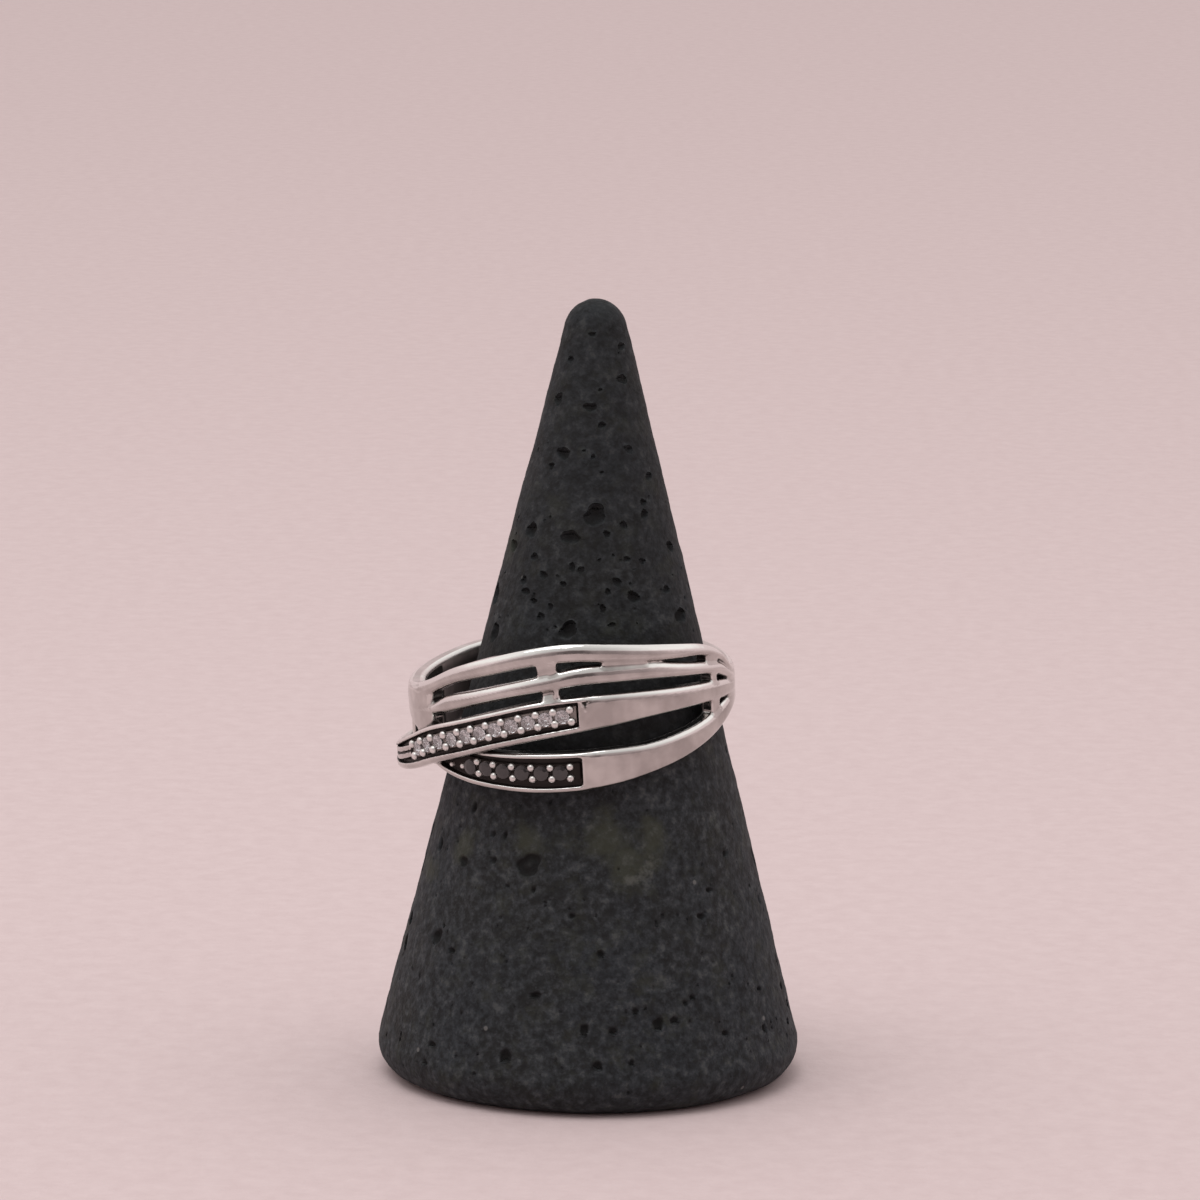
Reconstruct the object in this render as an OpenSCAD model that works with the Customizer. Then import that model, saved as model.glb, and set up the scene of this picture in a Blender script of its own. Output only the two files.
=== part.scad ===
// Crossover ring: two plain rails, a stone-set band that crosses over a second stone-set band, and a
// plain shank, all cast in one. It hangs on a plain pointed stone cone. Millimetres, +Z up, and the
// origin is the middle of the cone's flat foot. -Y is the front of the ring.

/* [Ring] */
// Inside diameter of the ring
bore_d = 17.8; // [17.4:0.1:18.2]
// Thickness of the metal from the finger to the face of a band
wall = 1.05; // [0.9:0.05:1.2]
// Rounding of the edges on the face of a band
face_round = 0.26; // [0.2:0.02:0.3]
// Rounding of the edges against the finger
bore_round = 0.14; // [0.1:0.02:0.2]

/* [Stone channels] */
// Metal left standing each side of a row of stones
rim_w = 0.28; // [0.24:0.02:0.32]
// Depth of a channel below the face of its band
channel_deep = 0.42; // [0.36:0.02:0.5]
// Width of a row of stones with its beads
pave_w = 1.16; // [1:0.02:1.2]
// How far a row of stones lies below the face of its band
pave_low = 0.06; // [0.02:0.02:0.12]
// Space under and at the ends of a row of stones
pave_gap = 0.03; // [0.02:0.01:0.05]

/* [Place on the stand] */
// Middle of the ring to the right of the cone's axis
ring_x = -1.2; // [-1.3:0.05:-1.1]
// Middle of the ring behind the cone's axis
ring_y = -0.35; // [-0.45:0.05:-0.3]
// Height of the middle of the ring
ring_z = 23.9; // [23.8:0.05:24.6]
// How far the back of the ring is tipped up, in degrees
ring_lean = 4.5; // [4:0.1:5]
// How far the right of the ring is tipped up, in degrees
ring_roll = 3.8; // [3.4:0.1:4]

/* [Stand] */
// Width of the cone where its straight side would meet the floor
cone_d = 27; // [26.6:0.1:27.1]
// Height at which the straight sides would meet
cone_apex = 53.96; // [53:0.1:54]
// Radius of the round tip
tip_r = 1.93; // [1.6:0.01:2.2]
// Radius of the round edge at the foot
foot_r = 1.94; // [1.5:0.01:2.4]

/* [Hidden] */

bore_r = bore_d / 2;
cone_r = cone_d / 2;
cone_half_angle = atan(cone_r / cone_apex);

// Degrees between the sections of a band, and facets of a corner, of an arc of the cone and of the cone
step = 5;
corner_steps = 2;
arc_steps = 6;
cone_facets = 96;

// Columns of the tables below: the angle round the ring from its front, + to the right, the height of
// the band's middle, half its width, and how far its inner face stands off the finger
ANGLE = 0;
MID = 1;
HALF = 2;
LIFT = 3;

// Upper rail: from the left shoulder, over the front, to the right shoulder
upper_rail = [
    [-96,  0.45, 0.45, 0.02],
    [-84,  0.72, 0.50, 0.02],
    [-72,  1.28, 0.48, 0.02],
    [-60,  1.98, 0.48, 0.02],
    [-46,  3.03, 0.49, 0.02],
    [-30, 3.885, 0.535, 0.02],
    [-14, 4.545, 0.55, 0.02],
    [  0,  4.80, 0.57, 0.02],
    [ 14,  4.61, 0.56, 0.02],
    [ 28,  4.28, 0.53, 0.02],
    [ 43,  3.90, 0.45, 0.02],
    [ 57,  3.42, 0.36, 0.02],
    [ 68,  2.62, 0.34, 0.02],
    [ 78,  1.50, 0.36, 0.02],
    [ 91,  0.82, 0.36, 0.02]
];

// Second rail, between the upper rail and the crossing band
second_rail = [
    [-90,  0.05, 0.50, 0.04],
    [-72,  0.25, 0.45, 0.04],
    [-60,  0.58, 0.37, 0.04],
    [-50,  1.17, 0.53, 0.04],
    [-36,  1.88, 0.48, 0.04],
    [-22,  2.52, 0.48, 0.04],
    [ -8,  3.00, 0.52, 0.04],
    [  4,  3.33, 0.57, 0.04],
    [ 18,  3.31, 0.55, 0.04],
    [ 32,  3.12, 0.53, 0.04],
    [ 44,  2.74, 0.45, 0.04],
    [ 58,  2.26, 0.40, 0.04],
    [ 68,  1.82, 0.44, 0.04],
    [ 78,  1.05, 0.38, 0.04],
    [ 93,  0.40, 0.38, 0.04]
];

// Crossing band: it leaves the right shoulder, widens, climbs over the lower band at the left and
// comes down onto the left shoulder behind
crossing_band = [
    [-113, -2.92, 0.36, 0.10],
    [-104, -3.10, 0.52, 0.46],
    [-96, -3.22, 0.58, 0.82],
    [-88, -3.22, 0.70, 1.00],
    [-80, -2.99, 0.90, 1.00],
    [-68, -2.29, 1.10, 0.84],
    [-56, -1.43, 1.18, 0.64],
    [-42, -0.65, 1.18, 0.46],
    [-28,  0.08, 1.17, 0.32],
    [-14,  0.66, 1.18, 0.18],
    [  0,  0.99, 1.12, 0.10],
    [ 14,  1.13, 0.99, 0.07],
    [ 28,  1.16, 0.83, 0.06],
    [ 42,  1.04, 0.71, 0.06],
    [ 56,  0.81, 0.63, 0.06],
    [  68,  0.52, 0.60, 0.06],
    [  80,  0.20, 0.52, 0.06],
    [  94,  0.00, 0.50, 0.06]
];

// Lower band: from the right shoulder round the front and under the crossing band
lower_band = [
    [-72, -1.10, 0.80, 0.02],
    [-64, -1.48, 1.00, 0.02],
    [-56, -1.90, 1.10, 0.02],
    [-42, -2.33, 1.13, 0.02],
    [-28, -2.50, 1.18, 0.02],
    [-14, -2.55, 1.25, 0.02],
    [  0, -2.52, 1.23, 0.02],
    [ 14, -2.41, 1.13, 0.02],
    [ 28, -2.23, 0.94, 0.02],
    [ 42, -1.91, 0.83, 0.02],
    [ 56, -1.50, 0.71, 0.02],
    [ 66, -1.10, 0.68, 0.02],
    [ 78, -0.70, 0.60, 0.02],
    [ 90, -0.45, 0.60, 0.02]
];

// Shank: the plain back of the ring from the right shoulder, which widens into the left shoulder
shank = [
    [ 74,  0.00, 1.18, 0],
    [ 90,  0.00, 1.19, 0],
    [120,  0.06, 1.20, 0],
    [150,  0.20, 1.20, 0],
    [180,  0.28, 1.20, 0],
    [206,  0.26, 1.20, 0],
    [214, -0.05, 1.46, 0],
    [222, -0.46, 1.83, 0],
    [230, -0.82, 2.12, 0],
    [238, -1.03, 2.27, 0],
    [250, -1.20, 2.40, 0],
    [265, -1.36, 2.54, 0],
    [273, -1.44, 2.50, 0]
];

// Plate at the front of the left shoulder, where the two rails and the crossing band come together
plate = [
    [-112,  0.05, 1.00, 0.00],
    [ -98,  0.14, 1.04, 0.03],
    [ -86,  0.15, 1.09, 0.06],
    [ -78,  0.20, 1.28, 0.06],
    [ -72,  0.18, 1.42, 0.06],
    [ -66,  0.16, 1.46, 0.05],
    [ -59,  0.60, 1.20, 0.00]
];

// First and last angle of each channel, of each row of stones, and of the two short bars that tie
// the bands together at the front
crossing_channel = [-94, 2.6];
crossing_row = [-67.7, 2.6];
lower_channel = [-54.6, 2.8];
lower_row = [-50, 2.8];
upper_bar = [-10.8, -4.4];
lower_bar = [-9.2, -3.2];
bar_low = 0.16;
bar_bite = 0.25;

// First and last angle of the webs that fill a narrow gap, and how low the face of each lies: over the
// crossing band at the left shoulder, between the rails where they touch, and the three near the right
// ends of the gaps, from the top one down
crossing_web = [-69, -58.5];
crossing_web_low = 0.04;
rail_web = [12, 28.5];
rail_web_low = 0.16;
top_web = [58, 66];
middle_web = [60.5, 64.5];
low_web = [60, 65.8];
right_web_low = 0.15;

// Inner face of the bars and webs, the length of each piece of them in degrees, and its lap
bar_lift = 0.06;
bar_step = 2;
bar_lap = 0.6;

// How far the middle of each channel lies above the middle of its band
crossing_shift = 0.06;
lower_shift = 0.04;

// Width of the plain strip behind the crossing band's stones
tail_w = 0.78;

// Space beside a row of stones, and from the lower row to the crossing band that covers its end
rim_gap = 0.1;
cover_gap = 0.04;
strip_round = 0.06;

// How far a cut reaches past the face of its band, and a strip into the metal it grows from, in
// millimetres and in degrees. Wide is more than any band's width, and over is above the whole ring.
reach = 0.2;
reach_angle = 1;
wide = 6;
over = 9;

// Row of table t that angle a lies in
function row_at(t, a, i = 0) = (i >= len(t) - 2 || a < t[i + 1][ANGLE]) ? i : row_at(t, a, i + 1);

// Slope of column c at row i
function slope_at(t, c, i) =
    let (p = max(i - 1, 0), q = min(i + 1, len(t) - 1))
    (t[q][c] - t[p][c]) / (t[q][ANGLE] - t[p][ANGLE]);

// Column c of table t at angle a, on a smooth curve through the rows
function smooth(t, c, a) =
    let (i = row_at(t, a), w = t[i + 1][ANGLE] - t[i][ANGLE], u = (a - t[i][ANGLE]) / w)
    (1 + 2 * u) * pow(1 - u, 2) * t[i][c] + u * pow(1 - u, 2) * w * slope_at(t, c, i)
    + u * u * (3 - 2 * u) * t[i + 1][c] - u * u * (1 - u) * w * slope_at(t, c, i + 1);

// Corner arc of a section, as [radius, height] pairs from angle a0 to a0 + 90
function corner(cr, cz, r, a0) =
    [for (k = [0:corner_steps]) let (a = a0 + 90 * k / corner_steps) [cr + r * cos(a), cz + r * sin(a)]];

// Section with rounded corners between radii r0 and r1 and heights z0 and z1
function section(r0, r1, z0, z1, round_in, round_out) = concat(
    corner(r1 - round_out, z1 - round_out, round_out, 0),
    corner(r0 + round_in, z1 - round_in, round_in, 90),
    corner(r0 + round_in, z0 + round_in, round_in, 180),
    corner(r1 - round_out, z0 + round_out, round_out, 270)
);

// A section stood up at angle a round the ring
function stand(points, a) = [for (p = points) [p[0] * sin(a), -p[0] * cos(a), p[1]]];

// Section of a whole band at angle a
function band_section(t, a) =
    let (m = smooth(t, MID, a), h = smooth(t, HALF, a), r = bore_r + smooth(t, LIFT, a))
    section(r, r + wall, m - h, m + h, bore_round, face_round);

// Section of a strip in a band: w wide at most, between low and high below the band's face, shift above
// the band's middle, never nearer than side to the band's edges, and no higher than top
function strip_section(t, a, w, low, high, side, shift, top) =
    let (m = smooth(t, MID, a) + shift, h = min(w / 2, smooth(t, HALF, a) - side - shift))
    let (face = bore_r + smooth(t, LIFT, a) + wall)
    section(face - low, face - high, m - h, min(m + h, top), strip_round, strip_round);

// Faces of a tube of m sections with n points each, both ends closed
function tube_faces(m, n) = concat(
    [[for (k = [n - 1:-1:0]) k]],
    [for (i = [0:m - 2], k = [0:n - 1]) let (a = i * n + k, b = i * n + (k + 1) % n) [a, b, b + n]],
    [for (i = [0:m - 2], k = [0:n - 1]) let (a = i * n + k, b = i * n + (k + 1) % n) [a, b + n, a + n]],
    [[for (k = [0:n - 1]) (m - 1) * n + k]]
);

// One solid through a list of sections
module tube(sections) {
    polyhedron(points = [for (s = sections) each s], faces = tube_faces(len(sections), len(sections[0])));
}

// Evenly spaced angles from a0 to a1, no further apart than most
function stops(a0, a1, most = step) =
    let (n = ceil((a1 - a0) / most)) [for (k = [0:n]) a0 + (a1 - a0) * k / n];

// A whole band along its table
module band(t) {
    tube([for (a = stops(t[0][ANGLE], t[len(t) - 1][ANGLE])) stand(band_section(t, a), a)]);
}

// Channel for a row of stones, open at the face of its band
module channel(t, span, shift) {
    tube([for (a = stops(span[0], span[1]))
        stand(strip_section(t, a, wide, channel_deep, -reach, rim_w, shift, over), a)]);
}

// Plain strip of metal that fills the crossing channel behind the row of stones
module tail() {
    low = channel_deep + reach;
    side = rim_w + rim_gap;
    tube([for (a = stops(crossing_channel[0] - reach_angle, crossing_row[0]))
        stand(strip_section(crossing_band, a, tail_w, low, pave_low, side, crossing_shift, over), a)]);
}

// Lower edge of a band at angle a
function lower_edge(t, a) = smooth(t, MID, a) - smooth(t, HALF, a);

// Row of stones in its channel, clear of the floor, the ends and a band that covers it
module pave(t, span, shift, cover = []) {
    end_gap = pave_gap / bore_r * 180 / PI;
    low = channel_deep - pave_gap;
    side = rim_w + rim_gap;
    tube([for (a = stops(span[0] + end_gap, span[1] - end_gap))
        let (top = cover == [] ? over : lower_edge(cover, a) - cover_gap)
        stand(strip_section(t, a, pave_w, low, pave_low, side, shift, top), a)]);
}

// Section of a bar or web at angle a: from band t to band u above it, its face lower than theirs
function bar_section(t, u, a, low) =
    let (z0 = smooth(t, MID, a) + smooth(t, HALF, a) - bar_bite, z1 = lower_edge(u, a) + bar_bite)
    section(bore_r + bar_lift, bore_r + wall - low, z0, z1, bore_round, bore_round);

// Bar or web between band t and band u above it, as short lengths that lap over each other
module bar(t, u, span, low) {
    a = stops(span[0], span[1], bar_step);
    for (k = [0:len(a) - 2]) hull() {
        tube([for (b = [a[k], a[k + 1] + bar_lap]) stand(bar_section(t, u, b, low), b)]);
    }
}

// Puts the ring where it hangs on the cone
module on_stand() {
    translate([ring_x, ring_y, ring_z]) rotate([ring_lean, -ring_roll, 0]) children();
}

module ring_body() {
    color([0.77, 0.75, 0.74]) on_stand() union() {
        difference() {
            union() {
                band(shank);
                band(plate);
                band(upper_rail);
                band(second_rail);
                band(crossing_band);
                difference() {
                    band(lower_band);
                    channel(lower_band, lower_channel, lower_shift);
                }
                bar(second_rail, upper_rail, upper_bar, bar_low);
                bar(crossing_band, second_rail, lower_bar, bar_low);
                bar(crossing_band, second_rail, crossing_web, crossing_web_low);
                bar(second_rail, upper_rail, rail_web, rail_web_low);
                bar(second_rail, upper_rail, top_web, right_web_low);
                bar(crossing_band, second_rail, middle_web, right_web_low);
                bar(lower_band, crossing_band, low_web, right_web_low);
            }
            channel(crossing_band, crossing_channel, crossing_shift);
        }
        tail();
    }
}

module crossing_band_pave() {
    color([0.86, 0.86, 0.88]) on_stand() pave(crossing_band, crossing_row, crossing_shift);
}

module lower_band_pave() {
    color([0.12, 0.11, 0.12]) on_stand() pave(lower_band, lower_row, lower_shift, crossing_band);
}

// Half outline of the cone: flat foot, round foot edge, straight side, round tip
module cone_outline() {
    foot_x = cone_r - foot_r * (tan(cone_half_angle) + 1 / cos(cone_half_angle));
    tip_z = cone_apex - tip_r / sin(cone_half_angle);
    foot_arc = [for (k = [0:arc_steps]) let (a = -90 + (90 + cone_half_angle) * k / arc_steps)
        [foot_x + foot_r * cos(a), foot_r + foot_r * sin(a)]];
    tip_arc = [for (k = [0:arc_steps]) let (a = cone_half_angle + (90 - cone_half_angle) * k / arc_steps)
        [tip_r * cos(a), tip_z + tip_r * sin(a)]];
    polygon(concat([[0, 0]], foot_arc, tip_arc));
}

module cone_stand() {
    color([0.15, 0.16, 0.17]) rotate_extrude($fn = cone_facets) cone_outline();
}

ring_body();
crossing_band_pave();
lower_band_pave();
cone_stand();
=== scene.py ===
"""Blender model of the crossover ring on its stone cone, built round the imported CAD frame.

Lengths are in millimetres until a mesh is made, and metres from there on. Ring coordinates are the
angle phi in degrees round the ring from its front (+ to the right), the radius r and the height z.
"""
import math

import bpy
import numpy as np
from mathutils import Matrix, Vector, noise
from mathutils.geometry import delaunay_2d_cdt


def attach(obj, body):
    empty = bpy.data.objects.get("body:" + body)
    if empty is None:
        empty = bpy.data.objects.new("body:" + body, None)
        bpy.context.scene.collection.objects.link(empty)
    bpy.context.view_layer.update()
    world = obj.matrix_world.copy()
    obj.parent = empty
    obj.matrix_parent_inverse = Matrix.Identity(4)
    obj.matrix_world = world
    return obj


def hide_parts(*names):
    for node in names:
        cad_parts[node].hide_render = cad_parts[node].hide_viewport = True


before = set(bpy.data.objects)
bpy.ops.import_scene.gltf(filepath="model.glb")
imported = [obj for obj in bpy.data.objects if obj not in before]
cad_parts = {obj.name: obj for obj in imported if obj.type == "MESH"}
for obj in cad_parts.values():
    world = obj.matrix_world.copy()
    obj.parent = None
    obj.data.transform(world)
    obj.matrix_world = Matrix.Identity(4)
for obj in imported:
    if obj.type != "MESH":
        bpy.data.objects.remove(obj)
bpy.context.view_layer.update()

MM = 0.001
DEG = math.pi / 180
TAU = 2 * math.pi

# Ring, with the sizes of part.scad. Its edges are rounded more, as those of a polished casting are
BORE_R = 8.9
WALL = 1.05
FACE_ROUND = 0.34
RIM_ROUND = 0.26
BORE_ROUND = 0.28
RIM_W = 0.28
CHANNEL_DEEP = 0.42
CHANNEL_ROUND = 0.06
LOWER_CORNER = 0.17
PAVE_LOW = 0.06
TAIL_W = 0.78
TAIL_GROOVE = 0.12
RIM_GAP = 0.1
RING_AT = np.array((-1.2, -0.35, 23.9))
RING_LEAN = 4.5
RING_ROLL = 3.8

# Columns: angle, height of the band's middle, half its width, how far its inner face stands off. Unlike in
# part.scad the ends in the shoulders sink, so that no edge of them shows
UPPER_RAIL = (
    (-96, 0.45, 0.45, -0.12), (-84, 0.72, 0.5, 0.02), (-72, 1.28, 0.48, 0.02),
    (-60, 1.98, 0.48, 0.02), (-46, 3.03, 0.49, 0.02), (-30, 3.885, 0.535, 0.02),
    (-14, 4.545, 0.55, 0.02), (0, 4.8, 0.57, 0.02), (14, 4.61, 0.56, 0.02),
    (28, 4.28, 0.53, 0.02), (43, 3.9, 0.45, 0.02), (57, 3.42, 0.36, 0.02),
    (68, 2.62, 0.34, 0.02), (78, 1.5, 0.36, 0.02), (91, 0.82, 0.36, -0.08),
)
SECOND_RAIL = (
    (-90, 0.05, 0.5, -0.12), (-72, 0.25, 0.45, 0.04), (-60, 0.58, 0.37, 0.04),
    (-50, 1.17, 0.53, 0.04), (-36, 1.88, 0.48, 0.04), (-22, 2.52, 0.48, 0.04),
    (-8, 3.0, 0.52, 0.04), (4, 3.33, 0.57, 0.04), (18, 3.31, 0.55, 0.04),
    (32, 3.12, 0.53, 0.04), (44, 2.74, 0.45, 0.04), (58, 2.26, 0.4, 0.04),
    (68, 1.82, 0.44, 0.04), (78, 1.05, 0.38, 0.04), (93, 0.4, 0.38, -0.08),
)
CROSSING_BAND = (
    (-113, -2.92, 0.36, 0.1), (-104, -3.1, 0.52, 0.46), (-96, -3.22, 0.58, 0.82),
    (-88, -3.22, 0.7, 1.0), (-80, -2.99, 0.9, 1.0), (-68, -2.29, 1.1, 0.84),
    (-56, -1.43, 1.18, 0.64), (-42, -0.65, 1.18, 0.46), (-28, 0.08, 1.17, 0.32),
    (-14, 0.66, 1.18, 0.18), (0, 0.99, 1.12, 0.1), (14, 1.13, 0.99, 0.07),
    (28, 1.16, 0.83, 0.06), (42, 1.04, 0.71, 0.06), (56, 0.81, 0.63, 0.06),
    (68, 0.52, 0.6, 0.06), (80, 0.2, 0.52, 0.06), (94, 0.0, 0.5, -0.08),
)
LOWER_BAND = (
    (-72, -1.1, 0.8, 0.02), (-64, -1.48, 1.0, 0.02), (-56, -1.9, 1.1, 0.02),
    (-42, -2.33, 1.13, 0.02), (-28, -2.5, 1.18, 0.02), (-14, -2.55, 1.25, 0.02),
    (0, -2.52, 1.23, 0.02), (14, -2.41, 1.13, 0.02), (28, -2.23, 0.94, 0.02),
    (42, -1.91, 0.83, 0.02), (56, -1.5, 0.71, 0.02), (66, -1.1, 0.68, 0.02),
    (78, -0.7, 0.6, 0.02), (90, -0.45, 0.6, -0.08),
)
SHANK = (
    (74, 0.0, 1.18, 0), (90, 0.0, 1.19, 0), (120, 0.06, 1.2, 0), (150, 0.2, 1.2, 0),
    (180, 0.28, 1.2, 0), (206, 0.26, 1.2, 0), (214, -0.05, 1.46, 0), (222, -0.46, 1.83, 0),
    (230, -0.82, 2.12, 0), (238, -1.03, 2.27, 0), (250, -1.2, 2.4, 0), (265, -1.36, 2.54, 0),
    (273, -1.44, 2.5, -0.12),
)
PLATE = (
    (-112, 0.05, 1.0, 0.0), (-98, 0.14, 1.04, 0.03), (-86, 0.15, 1.09, 0.06),
    (-78, 0.2, 1.28, 0.06), (-72, 0.18, 1.42, 0.06), (-66, 0.16, 1.46, 0.05),
    (-59, 0.6, 1.2, 0.0),
)
CROSSING_CHANNEL = (-94, 2.6)
CROSSING_ROW = (-67.7, 2.6)
LOWER_CHANNEL = (-54.6, 2.8)
LOWER_ROW = (-52, 2.8)
CROSSING_SHIFT = 0.06
LOWER_SHIFT = 0.04
# The plain strip that carries on the crossing band's row of stones, and the groove in it
TAIL_SPAN = (-95, CROSSING_ROW[0])
TAIL_GROOVE_SPAN = (-97, CROSSING_ROW[0] - 0.6)

# How softly the cast bodies run into each other, and the shape of their faces
MELT = 0.16
CROSS_MELT = 0.07
CUT_MELT = 0.05
BORE_MELT = 0.06
FINE_MELT = 0.03
CROWN = 0.1
RIM_CROWN = 0.03
RAIL_CROWN = 0.15
RAIL_TURN = 0.22
END_ROUND = 0.3
BAR_ROUND = 0.1
# Wider than any band, and how low a cut starts, which is above every face
OVER_BAND = 9
OVER_FACE = -1

# Camera, fitted to the photograph of 1200 by 1200 pixels
CAM_ELEVATION = 10.0
CAM_ROLL = 0.656
CAM_TARGET = (0.434, 0.0, 29.376)
CAM_DISTANCE = 420.0
CAM_FOCAL_PX = 6888.0
PHOTO_SIZE = 1200
SENSOR = 36.0


# Tools

def ease(t):
    """0 below 0, 1 above 1, and a soft climb between."""
    t = np.clip(t, 0, 1)
    return t * t * (3 - 2 * t)


def union(a, b, k):
    """Smooth union of two distance fields."""
    h = np.maximum(k - np.abs(a - b), 0) / k
    return np.minimum(a, b) - h * h * k / 4


def common(a, b, k):
    """Smooth intersection of two distance fields."""
    return -union(-a, -b, k)


def cut(a, b, k):
    return common(a, -b, k)


def make_mesh(name, points, faces, smooth=True):
    """Object from points in millimetres in the row frame."""
    mesh = bpy.data.meshes.new(name)
    faces = [tuple(map(int, face)) for face in faces]
    mesh.from_pydata((np.asarray(points, float) * MM).tolist(), [], faces)
    mesh.polygons.foreach_set("use_smooth", [smooth] * len(faces))
    mesh.validate()
    obj = bpy.data.objects.new(name, mesh)
    bpy.context.scene.collection.objects.link(obj)
    return obj


def add_attribute(obj, name, values):
    attribute = obj.data.attributes.new(name, "FLOAT", "POINT")
    attribute.data.foreach_set("value", np.asarray(values, np.float32))


# Ring shapes

class Band:
    """A band's table on a smooth curve."""

    def __init__(self, rows, plain_from=-400, crown=CROWN, turn=0.08):
        self.plain_from, self.crown, self.turn = plain_from, crown, turn
        t = np.array(rows, float)
        self.start, self.stop = t[0, 0], t[-1, 0]
        self.a = np.linspace(self.start, self.stop, int((self.stop - self.start) / 0.25) + 1)
        n = np.arange(len(t))
        before, after = np.maximum(n - 1, 0), np.minimum(n + 1, n[-1])
        slope = (t[after] - t[before]) / (t[after, :1] - t[before, :1])
        i = np.clip(np.searchsorted(t[:, 0], self.a, side="right") - 1, 0, len(t) - 2)
        w = (t[i + 1, 0] - t[i, 0])[:, None]
        u = ((self.a - t[i, 0]) / w[:, 0])[:, None]
        self.columns = ((1 + 2 * u) * (1 - u) ** 2 * t[i] + u * (1 - u) ** 2 * w * slope[i]
                        + u * u * (3 - 2 * u) * t[i + 1] - u * u * (1 - u) * w * slope[i + 1])
        radius = BORE_R + self.columns[:, 3] + WALL
        self.rise = np.gradient(self.columns[:, 1], self.a * DEG) / radius

    def at(self, phi):
        mid, half, lift = (np.interp(phi, self.a, self.columns[:, c]) for c in (1, 2, 3))
        rise = np.interp(phi, self.a, self.rise)
        return mid, half, lift, 1 / np.sqrt(1 + rise * rise)

    def plain(self, phi):
        """0 along the stones, 1 where the face is plain."""
        return ease((phi - self.plain_from) / 6)

    def face(self, phi):
        return BORE_R + WALL + np.interp(phi, self.a, self.columns[:, 3])

    def ends(self, phi, span=None):
        low, high = span or (self.start, self.stop)
        return np.maximum(low - phi, phi - high) * DEG * (BORE_R + WALL / 2)


def rounded_box(p, q, rnd):
    """Distance to a rounded corner, from the distances to its two sides."""
    p, q = p + rnd, q + rnd
    return np.hypot(np.maximum(p, 0), np.maximum(q, 0)) + np.minimum(np.maximum(p, q), 0) - rnd


def band_field(band, phi, r, z):
    mid, half, lift, lean = band.at(phi)
    across, half = (z - mid) * lean, half * lean
    centre = BORE_R + lift + WALL / 2
    outer = ease((r - centre) / (WALL / 2))
    plain = band.plain(phi)
    crown = RIM_CROWN + (band.crown - RIM_CROWN) * plain
    crown = crown * (np.clip(across / half, -1, 1) + band.turn * plain) ** 2
    height = np.abs(r + crown * outer - centre) - WALL / 2
    face_round = RIM_ROUND + (FACE_ROUND - RIM_ROUND) * plain
    rnd = np.minimum(BORE_ROUND + (face_round - BORE_ROUND) * outer, 0.9 * half)
    body = rounded_box(height, np.abs(across) - half, rnd)
    return common(body, band.ends(phi), END_ROUND)


def strip_field(band, phi, r, z, width, low, high, side, shift, span, rnd, corner=0.06):
    """A strip along a band, between low and high below its face."""
    mid, half, lift, lean = band.at(phi)
    across = np.abs(z - mid - shift) * lean
    half = np.minimum(width / 2, half - side - shift) * lean
    face = BORE_R + lift + WALL
    height = np.maximum(face - low - r, r - face + high)
    plan = rounded_box(across - half, band.ends(phi, span), corner)
    return rounded_box(plan, height, rnd)


def bar_field(lower, upper, phi, r, z, span, low):
    """A bar between two bands. Low is as in TIES."""
    mid, half, _, _ = lower.at(phi)
    above, above_half, _, _ = upper.at(phi)
    z0, z1 = mid + half - 0.25, above - above_half + 0.25
    across = np.abs(z - (z0 + z1) / 2) - (z1 - z0) / 2
    climb = ease((z - z0 - 0.2) / (z1 - z0 - 0.4))
    low = low[0] + (low[1] - low[0]) * climb
    height = np.maximum(BORE_R + 0.06 - r, r - BORE_R - WALL + low)
    bar = rounded_box(height, across, BAR_ROUND)
    return rounded_box(bar, lower.ends(phi, span), BAR_ROUND)


upper_rail = Band(UPPER_RAIL, crown=RAIL_CROWN, turn=RAIL_TURN)
second_rail = Band(SECOND_RAIL, crown=RAIL_CROWN, turn=RAIL_TURN)
crossing_band = Band(CROSSING_BAND, CROSSING_CHANNEL[1] - 1)
lower_band = Band(LOWER_BAND, LOWER_CHANNEL[1] - 1)
shank = Band(SHANK, crown=0.04, turn=0)
plate = Band(PLATE, crown=0.05, turn=0)

# Bars and webs between two bands: the band below and the one above, first and last angle, and how far the
# face lies below theirs, at the foot and at the top
TIES = (
    (second_rail, upper_rail, (-11.2, -4.4), (0.3, 0.04)),
    (second_rail, upper_rail, (-6.9, -4.4), (0.22, 0.02)),
    (crossing_band, second_rail, (-9.8, -3.8), (0.05, 0.3)),
    (crossing_band, second_rail, (-5.4, -3.8), (0.03, 0.02)),
    (crossing_band, second_rail, (-69, -58.5), (0.04, 0.04)),
    (second_rail, upper_rail, (12, 28.5), (0.16, 0.16)),
    (second_rail, upper_rail, (58, 66), (0.2, 0.2)),
    (crossing_band, second_rail, (60.5, 64.5), (0.12, 0.12)),
    (lower_band, crossing_band, (60, 65.8), (0.12, 0.12)),
)
# Graver's nick in the crossing band's face: angle, height over the band's middle, half width, depth
NICK = (4.9, 0.69, 0.3, 0.3)
# First and last angle of the gaps in both shoulders, their top, and the radius that their sides get painted
# shade to
GAPS = ((-118, -79), (62, 110))
GAP_TOP = 1.0
GAP_R = 9.85


def channel_field(band, shift, span, phi, r, z, corner=CHANNEL_ROUND):
    """The channel for a band's stones."""
    return strip_field(band, phi, r, z, OVER_BAND, CHANNEL_DEEP, OVER_FACE, RIM_W, shift, span,
                       CHANNEL_ROUND, corner)


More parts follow.
